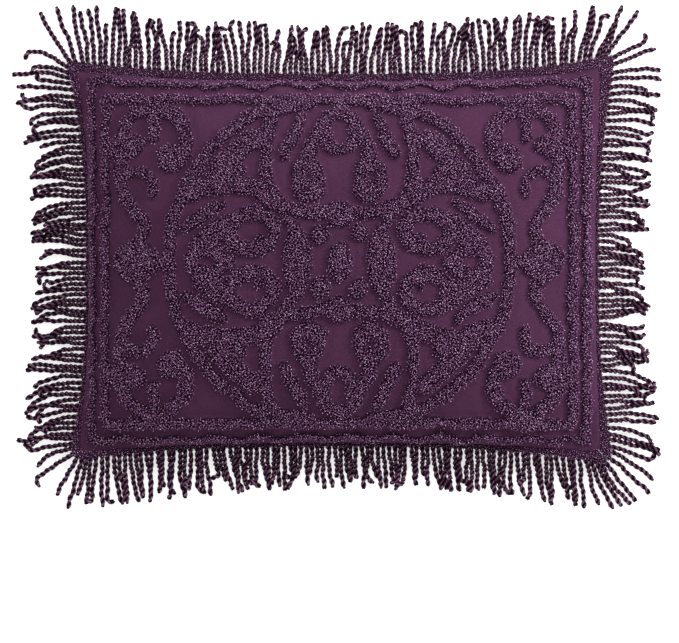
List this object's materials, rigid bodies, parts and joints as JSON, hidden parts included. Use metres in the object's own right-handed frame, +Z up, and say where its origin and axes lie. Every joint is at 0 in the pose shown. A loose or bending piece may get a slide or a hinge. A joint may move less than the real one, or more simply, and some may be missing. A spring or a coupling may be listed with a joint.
{
  "type": "fringed chenille pillow sham",
  "caption": "Filled oblong chenille pillow sham with raised scroll medallion, tufted border bands and twisted cord fringe on all sides, lying on its back.",
  "frame": {"origin": "middle of the flat underside, where the sham rests", "axes": "+X along the sham's width, +Y towards its top edge, +Z up through its face"},
  "size_m": [0.7805, 0.6026, 0.113],
  "materials": {
    "chenille_cloth": "matte woven cotton with tufted chenille pile",
    "twisted_cord": "matte two-ply twisted cotton cord"
  },
  "bodies": {
    "root": {"filled_sham": "chenille_cloth", "fringe_top": "twisted_cord", "fringe_bottom": "twisted_cord", "fringe_left": "twisted_cord", "fringe_right": "twisted_cord"}
  },
  "joints": []
}
